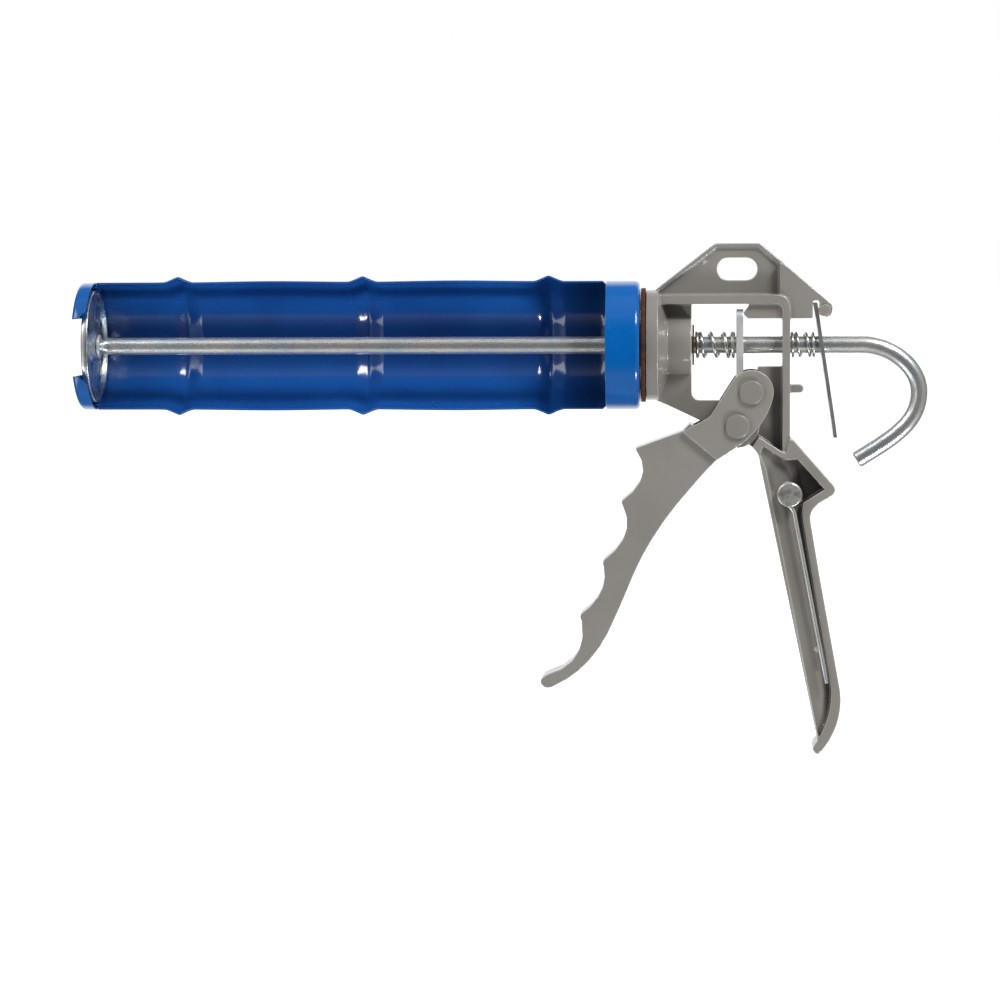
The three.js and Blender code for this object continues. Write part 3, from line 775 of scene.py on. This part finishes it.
def frontCapMesh():
    low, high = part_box("front_cap")
    front = low.x / mm
    back = high.x / mm
    radius = high.z / mm
    sheet = frontCap["sheet"]
    path = roundedPath([
        (front, 0, 0),
        (front, radius, frontCap["rounding"]),
        (back, radius, frontCap["edgeRounding"]),
        (back, radius - sheet, frontCap["edgeRounding"]),
        (front + sheet, radius - sheet, frontCap["rounding"] - sheet),
        (front + sheet, 0, 0),
    ], frontCap["steps"], closed=False)
    body = bpy.data.objects.new("front_cap_body", turned("front_cap_cup", path, frontCap["segments"]))
    bpy.context.collection.objects.link(body)
    for cutter in (slotCutter(front, back, radius), mouthCutter(front, back, radius)):
        cut = body.modifiers.new("cut", "BOOLEAN")
        cut.operation = "DIFFERENCE"
        cut.object = cutter
        settle(body)
        bpy.data.objects.remove(cutter)
    bevel = body.modifiers.new("edges", "BEVEL")
    bevel.width = frontCap["lip"] * mm
    bevel.segments = 2
    bevel.limit_method = "ANGLE"
    bevel.angle_limit = math.radians(frontCap["lipFrom"])
    mesh = settle(body)
    bpy.data.objects.remove(body)
    mesh.name = "front_cap_cup"
    mesh.set_sharp_from_angle(angle=math.radians(build["sharpest"]))
    return mesh


place("front_cap_cup", frontCapMesh(), enamelOutside, "barrel", "enamel", ["front_cap"])
print("barrel made")


# swivel and washers

holes = {
    "swivel": 9.3,
    "spring": 3.85,
    "plunger": 2.65,
}


def washer(name, node, hole, rounding, material, slot, body="frame"):
    low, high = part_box(node)
    front = low.x / mm
    back = high.x / mm
    outer = high.z / mm
    path = roundedPath([
        (front, hole, rounding), (front, outer, rounding), (back, outer, rounding), (back, hole, rounding),
    ], 3)
    place(name, turned(name, path), material, body, slot, [node])


washer("fibre_washer", "swivel_washer", holes["swivel"], 0.35, brownFibre, "fibre")
washer("thrust_ring", "thrust_washer", holes["swivel"], 0.25, plateSteel, "zinc_steel")
washer("spring_seat_ring", "spring_seat", holes["spring"], 0.2, brownFibre, "fibre")
washer("disc_washer", "plunger_washer", holes["plunger"], 0.25, plateSteel, "zinc_steel", "plunger")
nutMesh = bevelMesh("hexagon_nut", "swivel_nut", 0.5 * mm)
evenNormals(place("hexagon_nut", nutMesh, plateSteel, "frame", "zinc_steel", ["swivel_nut"]))
print("washers made")


# plunger and rod

plunger = {
    "sheet": 1.2,
    "edgeRounding": 0.9,
    "dish": 0.5,
    "ring": (5, 3.6, 2.2),  # the pressed ring's foot, floor and outer foot, in from the disc's edge
    "headSeat": 4.9,
    "boss": 1.5,  # how far the middle stands back for the rod's head
    "segments": 112,
}


def plungerMesh():
    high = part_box("plunger_disc")[1]
    back = high.x / mm
    edge = high.z / mm
    sheet = plunger["sheet"]
    seat = plunger["headSeat"]
    hole = holes["plunger"]
    dish = plunger["dish"]
    boss = plunger["boss"]
    foot, floor, outerFoot = (edge - inset for inset in plunger["ring"])
    path = roundedPath([
        (0, seat + 1.2, 0.5),
        (0, foot, 3),
        (dish, floor, 1.5),
        (0, outerFoot, 1.5),
        (0, edge, plunger["edgeRounding"]),
        (back, edge, 0.4),
        (back, edge - sheet, 0.4),
        (sheet, edge - sheet, 0.5),
        (sheet, outerFoot - sheet, 1.2),
        (sheet + dish, floor - sheet, 1.5),
        (sheet, foot - sheet, 3),
        (sheet, seat + 2, 0.8),
        (sheet + boss, seat + 0.6, 0.4),
        (sheet + boss, hole, 0.1),
        (boss, hole, 0.1),
        (boss, seat, 0.4),
    ])
    return turned("plunger_plate", path, plunger["segments"])


place("plunger_plate", plungerMesh(), discSteel, "plunger", "zinc_steel", ["plunger_disc"])

rod = {
    "radius": 3.5,
    "tenon": 2.35,
    "head": 4.6,
    # (along, which radius, added to it) from the riveted head back to the full rod
    "nose": [
        (0.0, "head", -0.8), (0.1, "head", -0.35), (0.35, "head", -0.1), (0.8, "head", 0.0),
        (1.1, "head", -0.05), (1.2, "head", -0.2), (1.2, "tenon", 0.1), (1.5, "tenon", 0.0),
        (4.4, "tenon", 0.0), (4.8, "tenon", 0.15), (6.4, "radius", -0.12), (7.0, "radius", 0.0),
    ],
    "noseStart": 0.3,
    "straight": (12.0, 8),  # where the plain rod's sections start, and their spacing
    "hookDrop": 19.2,
    "hookWidth": 23.2,
    "hookFall": 0.455,  # share of the drop where the bend starts to round
    "tail": (25.1, 27.7),
    "tailEase": (11.2, 19),
    "tailLeave": 13,
    "bendSteps": 36,
    "sides": 40,
    "endChamfer": 0.5,
}


def rodMesh():
    radius = rod["radius"]
    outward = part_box("push_rod")[1].x / mm - radius
    hookStart = outward - rod["hookWidth"]
    stations = [(0.0, rod["noseStart"])]
    stations += [(along, rod[part] + more) for along, part, more in rod["nose"]]
    x, spacing = rod["straight"]
    while x < hookStart - spacing / 2:
        stations.append((x, radius))
        x += spacing
    points = [Vector((along, 0, 0)) for along, _ in stations]
    radii = [r for _, r in stations]
    tip = Vector((outward, 0, -rod["hookDrop"]))
    straight = Vector((hookStart + rod["hookWidth"] / 2, 0, 0))
    falling = Vector((tip.x, 0, tip.z * rod["hookFall"]))
    first = bezier(Vector((hookStart, 0, 0)), straight, falling, tip, rod["bendSteps"])
    leaving = tip + Vector((0, 0, -rod["tailLeave"]))
    easing, tailEnd = (tip + Vector((-back, 0, -drop)) for back, drop in (rod["tailEase"], rod["tail"]))
    bend = first + bezier(tip, leaving, easing, tailEnd, rod["bendSteps"])[1:]
    end = bend[-1]
    back = (bend[-2] - end).normalized()
    bend[-1] = end + back * rod["endChamfer"]
    bend.append(end)
    points += bend
    radii += [radius] * (len(bend) - 1) + [radius - rod["endChamfer"]]
    return swept("drawn_rod", [p * mm for p in points], [r * mm for r in radii], rod["sides"])


place("drawn_rod", rodMesh(), rodSteel, "rod", "zinc_steel", ["push_rod"])
print("rod made")


# castings

cast = {
    "frameVoxel": 0.00034,
    "triggerVoxel": 0.0003,
    "smoothing": 0.5,
    "passes": 3,
    "keep": 0.42,
}


def castMesh(name, node, voxel):
    # a casting's rounded edges and filled corners: remeshed finely, smoothed, then thinned
    rough = looseCopy(name + "_rough", node)
    remesh = rough.modifiers.new("remesh", "REMESH")
    remesh.mode = "VOXEL"
    remesh.voxel_size = voxel
    remesh.use_smooth_shade = True
    smooth = rough.modifiers.new("smooth", "SMOOTH")
    smooth.factor = cast["smoothing"]
    smooth.iterations = cast["passes"]
    thin = rough.modifiers.new("thin", "DECIMATE")
    thin.ratio = cast["keep"]
    return settleRough(rough, name)


frameMesh = castMesh("cast_frame", "frame", cast["frameVoxel"])
place("cast_frame", frameMesh, greyPaint, "frame", "grey_casting", ["frame"])
print("frame cast")
triggerMesh = castMesh("cast_trigger", "trigger", cast["triggerVoxel"])
place("cast_trigger", triggerMesh, greyPaint, "trigger", "grey_casting", ["trigger"])
print("trigger cast")


# rivets and pins

rivets = {
    "radius": 2.4,
    "headHeight": 1.2,
    "rimRounding": 0.3,
    "chamfer": (0.75, 0.32),
    "dome": 0.06,
    "segments": 72,
}


def rivetMesh(name, node):
    low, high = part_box(node)
    middle = (low + high) / 2
    end = (high.y - middle.y) / mm
    head = (high.z - low.z) / 2 / mm
    start = end - rivets["headHeight"]
    dome = rivets["dome"]
    chamferWidth, chamferDrop = rivets["chamfer"]
    rim = rivets["rimRounding"]
    upper = roundedPath([
        (0, rivets["radius"], 0), (start, rivets["radius"], 0.1), (start, head, 0.15),
        (end - dome - chamferDrop, head, rim), (end - dome, head - chamferWidth, rim), (end, 0, 0),
    ], 5, closed=False)
    lower = [Vector((-p.x, p.y)) for p in reversed(upper)]
    path = lower + upper[1:]
    return turned(name, path, rivets["segments"], "Y", (middle.x, 0, middle.z))


for name, node, body in (("drive_rivet", "drive_pin", "trigger"), ("pivot_rivet", "pivot_pin", "frame")):
    place(name, rivetMesh(name, node), rivetPaint, body, "grey_rivet", [node])


def barMesh(name, node, rounding, grow=0.0):
    # a plain round bar across the gun, with rounded ends
    low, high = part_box(node)
    middle = (low + high) / 2
    radius = (high.z - low.z) / 2 / mm + grow
    end = high.y / mm
    corners = [(-end, 0, 0), (-end, radius, rounding), (end, radius, rounding), (end, 0, 0)]
    return turned(name, roundedPath(corners, closed=False), 48, "Y", (middle.x, 0, middle.z))


pinMesh = barMesh("ear_pin", "lever_pin", 0.5, 0.2)
place("ear_pin", pinMesh, greyPaint, "frame", "grey_casting", ["lever_pin"])
sleeveMesh = barMesh("drive_sleeve", "drive_roller", 0.3)
place("drive_sleeve", sleeveMesh, plateSteel, "trigger", "zinc_steel", ["drive_roller"])

wireRivet = {
    "shank": 3.0,
    "headHeight": 1.2,
    "rimRounding": 0.6,
    "dome": 0.35,
    "crown": (0.12, 0.5),  # the dome's fall part of the way out, and how far out
    "segments": 64,
}


def wireRivetMesh():
    low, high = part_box("wire_rivet")
    middle = (low + high) / 2
    head = (high.z - low.z) / 2 / mm
    face = low.y / mm
    back = face + wireRivet["headHeight"]
    end = high.y / mm
    shank = wireRivet["shank"]
    halfDrop, halfOut = wireRivet["crown"]
    path = roundedPath([
        (face, 0, 0), (face + halfDrop, head * halfOut, 2),
        (face + wireRivet["dome"], head, wireRivet["rimRounding"]), (back, head, 0.15),
        (back, shank, 0.1), (end, shank, 0.2), (end, 0, 0),
    ], 5, closed=False)
    return turned("wire_rivet_head", path, wireRivet["segments"], "Y", (middle.x, 0, middle.z))


place("wire_rivet_head", wireRivetMesh(), rivetSteel, "frame", "zinc_steel", ["wire_rivet"])
print("rivets made")


# drive plate, springs and release lever

plateMesh = bevelMesh("drive_plate_steel", "drive_plate", 0.45 * mm)
evenNormals(place("drive_plate_steel", plateMesh, plateSteel, "thrust", "zinc_steel", ["drive_plate"]))
leverMesh = bevelMesh("release_lever_steel", "release_lever", 0.3 * mm, 2)
evenNormals(place("release_lever_steel", leverMesh, leverSteel, "lever", "zinc_steel", ["release_lever"]))

springs = {
    # keep: the share of its length a spring has left when its joint is at its limit
    "drive": {"node": "drive_spring", "wire": 1.3, "turns": 5.2, "joint": "plate_push", "keep": 0.46},
    "release": {"node": "release_spring", "wire": 1.0, "turns": 4.0, "joint": "lever_press", "keep": 0.6},
}
coils = {
    "closeEnds": 0.14,
    "endRadius": 0.8,
    "turnSteps": 40,
    "sides": 14,
}


def springMesh(name, spring):
    # the end coils lie close, the middle ones open out
    low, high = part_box(spring["node"])
    radius = spring["wire"] / 2
    front = low.x / mm + radius
    back = high.x / mm - radius
    coil = high.z / mm - radius
    steps = round(spring["turns"] * coils["turnSteps"])
    points = []
    radii = []
    for i in range(steps + 1):
        t = i / steps
        pitch = t - coils["closeEnds"] * math.sin(fullTurn * t)
        angle = fullTurn * spring["turns"] * t
        x = front + (back - front) * pitch
        points.append(Vector((x, coil * math.cos(angle), coil * math.sin(angle))) * mm)
        radii.append(radius * mm * (coils["endRadius"] if i in (0, steps) else 1.0))
    return swept(name, points, radii, coils["sides"], Vector((1, 0, 0)))


for name, spring in (("drive_coil", springs["drive"]), ("release_coil", springs["release"])):
    coil = place(name, springMesh(name, spring), coilSteel, "frame", "spring_steel", [spring["node"]])
    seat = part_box(spring["node"])[0]
    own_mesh(coil)


# puncture wire

puncture = {
    "radius": 0.9,
    "eye": 4.25,
    "kink": (1.6, -6.15),
    "leave": 215,  # degrees round the eye where the wire leaves it
    "eyeTurn": 1.85,  # half turns
    "eyeSteps": 36,
    "ease": (1.6, 2.2, 1.5),  # out of the eye, into the elbow and past it
    "easeSteps": 10,
    "straightSteps": 12,
    "tipRadius": 0.75,
    "sides": 16,
}


def wireMesh():
    low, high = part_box("puncture_wire")
    rivetLow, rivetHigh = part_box("wire_rivet")
    centre = (rivetLow + rivetHigh) / 2 / mm
    y = (low.y + high.y) / 2 / mm
    end = Vector((high.x / mm - puncture["radius"], y, low.z / mm + 0.1))
    points = []
    leave = math.radians(puncture["leave"])
    for i in range(puncture["eyeSteps"] + 1):
        angle = leave - puncture["eyeTurn"] * halfTurn * (1 - i / puncture["eyeSteps"])
        points.append(Vector((
            centre.x + puncture["eye"] * math.cos(angle), y, centre.z + puncture["eye"] * math.sin(angle))))
    tangent = Vector((-math.sin(leave), 0, math.cos(leave)))
    elbow = Vector((centre.x + puncture["kink"][0], y, centre.z + puncture["kink"][1]))
    down = (end - elbow).normalized()
    start = points[-1]
    leaving, entering, past = puncture["ease"]
    points += bezier(
        start, start + tangent * leaving, elbow - down * entering, elbow + down * past,
        puncture["easeSteps"])[1:]
    for left in range(puncture["straightSteps"], 0, -1):
        points.append(points[-1].lerp(end, 1 / left))
    radii = [puncture["radius"]] * (len(points) - 1) + [puncture["radius"] * puncture["tipRadius"]]
    return swept("puncture_spike", [p * mm for p in points], [r * mm for r in radii], puncture["sides"])


place("puncture_spike", wireMesh(), wireSteel, "wire", "zinc_steel", ["puncture_wire"])
print("small pieces made")


# studio

studio = {
    "white": 1.0,
    # how bright the room is, from straight in front of the gun round to behind it
    "front": 0.035,
    "above": 0.47,
    "pastTop": 0.4,
    "behind": 1.1,
    "sides": 0.5,
    "frontEdge": (-0.9, -0.5),
    "topEdge": (0.05, 0.3),
    "behindEdge": (0.6, 0.85),
    "sideEdge": (0.45, 0.9),
    "floorDrop": 0.0006,
    "floorSize": 40.0,
    "floorColour": paint(252, 252, 252),
    "floorGlow": 0.86,
}


def makeWorld():
    world = bpy.data.worlds.new("studio")
    bpy.context.scene.world = world
    world.use_nodes = True
    recipe = Recipe(world.node_tree)
    background = recipe.tree.nodes["Background"]
    direction = recipe.add("ShaderNodeTexCoord", {}, {}, "Generated")
    away = recipe.axis(direction, "Y")
    across = recipe.axis(direction, "X").maths("ABSOLUTE")
    # dark in front of the gun, brighter above and below it, softer at the sides, brightest behind it
    facing = recipe.span(away, *studio["frontEdge"], studio["front"], studio["above"])
    facing = facing * recipe.span(away, *studio["topEdge"], 1.0, studio["pastTop"])
    facing = facing * recipe.span(across, *studio["sideEdge"], 1.0, studio["sides"])
    facing = facing + recipe.span(away, *studio["behindEdge"], 0.0, studio["behind"])
    seen = recipe.add("ShaderNodeLightPath", {}, {}, "Is Camera Ray")
    strength = seen * studio["white"] + (1 - seen) * facing
    recipe.feed(background.inputs["Strength"], strength)
    background.inputs["Color"].default_value = (1, 1, 1, 1)


def makeFloor():
    mesh = bpy.data.meshes.new("floor")
    shape = bmesh.new()
    half = studio["floorSize"] / 2
    level = cadBox[0].z - studio["floorDrop"]
    corners = [(-half, -half), (half, -half), (half, half), (-half, half)]
    shape.faces.new([shape.verts.new((x, y, level)) for x, y in corners])
    shape.to_mesh(mesh)
    shape.free()
    finish = Finish("floor_white", {
        "Roughness": 0.9,
        "Specular IOR Level": 0.0,
        "Base Color": studio["floorColour"],
        "Emission Color": (1, 1, 1, 1),
        "Emission Strength": studio["floorGlow"],
    })
    mesh.materials.append(finish.material)
    floor = bpy.data.objects.new("floor", mesh)
    bpy.context.collection.objects.link(floor)
    # the floor is only looked at: it neither lights the gun nor hides the lamps below it
    floor.visible_diffuse = False
    floor.visible_glossy = False
    floor.visible_transmission = False
    floor.visible_shadow = False


softboxes = [
    # name, place, aim, width, height, watts
    ("top_right", (0.70, -0.42, 0.62), (0.20, 0, -0.03), 0.26, 0.26, 5.8),
    ("low_right", (0.70, -0.40, -0.68), (0.20, 0, -0.03), 0.16, 0.14, 4.2),
    ("top_left", (-0.45, -0.42, 0.66), (0.16, 0, -0.03), 0.50, 0.42, 3.4),
    ("low_left", (-0.45, -0.40, -0.70), (0.16, 0, -0.03), 0.50, 0.42, 2.6),
    ("left_panel", (-0.40, -0.75, 0.0), (0.10, 0, 0), 0.40, 1.00, 0.8),
]


def makeLights():
    for name, spot, aim, width, height, watts in softboxes:
        light = bpy.data.lights.new(name, "AREA")
        light.shape = "RECTANGLE"
        light.size = width
        light.size_y = height
        light.energy = watts
        lamp = bpy.data.objects.new(name, light)
        lamp.location = spot
        lamp.rotation_euler = (Vector(aim) - Vector(spot)).to_track_quat("-Z", "Y").to_euler()
        lamp.visible_camera = False
        bpy.context.collection.objects.link(lamp)


camera = {
    "place": (0.2517, -1.282, 0.035),
    "aim": (0.1681, 0.0, -0.0632),
    "roll": -0.246,
    "lens": 113.4,
    "sensor": 36.0,
}


def makeCamera():
    data = bpy.data.cameras.new("camera")
    data.sensor_width = camera["sensor"]
    data.lens = camera["lens"]
    eye = bpy.data.objects.new("camera", data)
    place = Vector(camera["place"])
    ahead = (Vector(camera["aim"]) - place).normalized()
    level = ahead.cross(Vector((0, 0, 1))).normalized()
    upright = level.cross(ahead)
    lean = math.radians(camera["roll"])
    right = level * math.cos(lean) + upright * math.sin(lean)
    up = upright * math.cos(lean) - level * math.sin(lean)
    eye.location = place
    eye.rotation_euler = Matrix((right, up, -ahead)).transposed().to_euler()
    bpy.context.collection.objects.link(eye)
    bpy.context.scene.camera = eye


makeWorld()
makeFloor()
makeLights()
makeCamera()
bpy.context.scene.view_settings.view_transform = "Standard"
print("studio made")
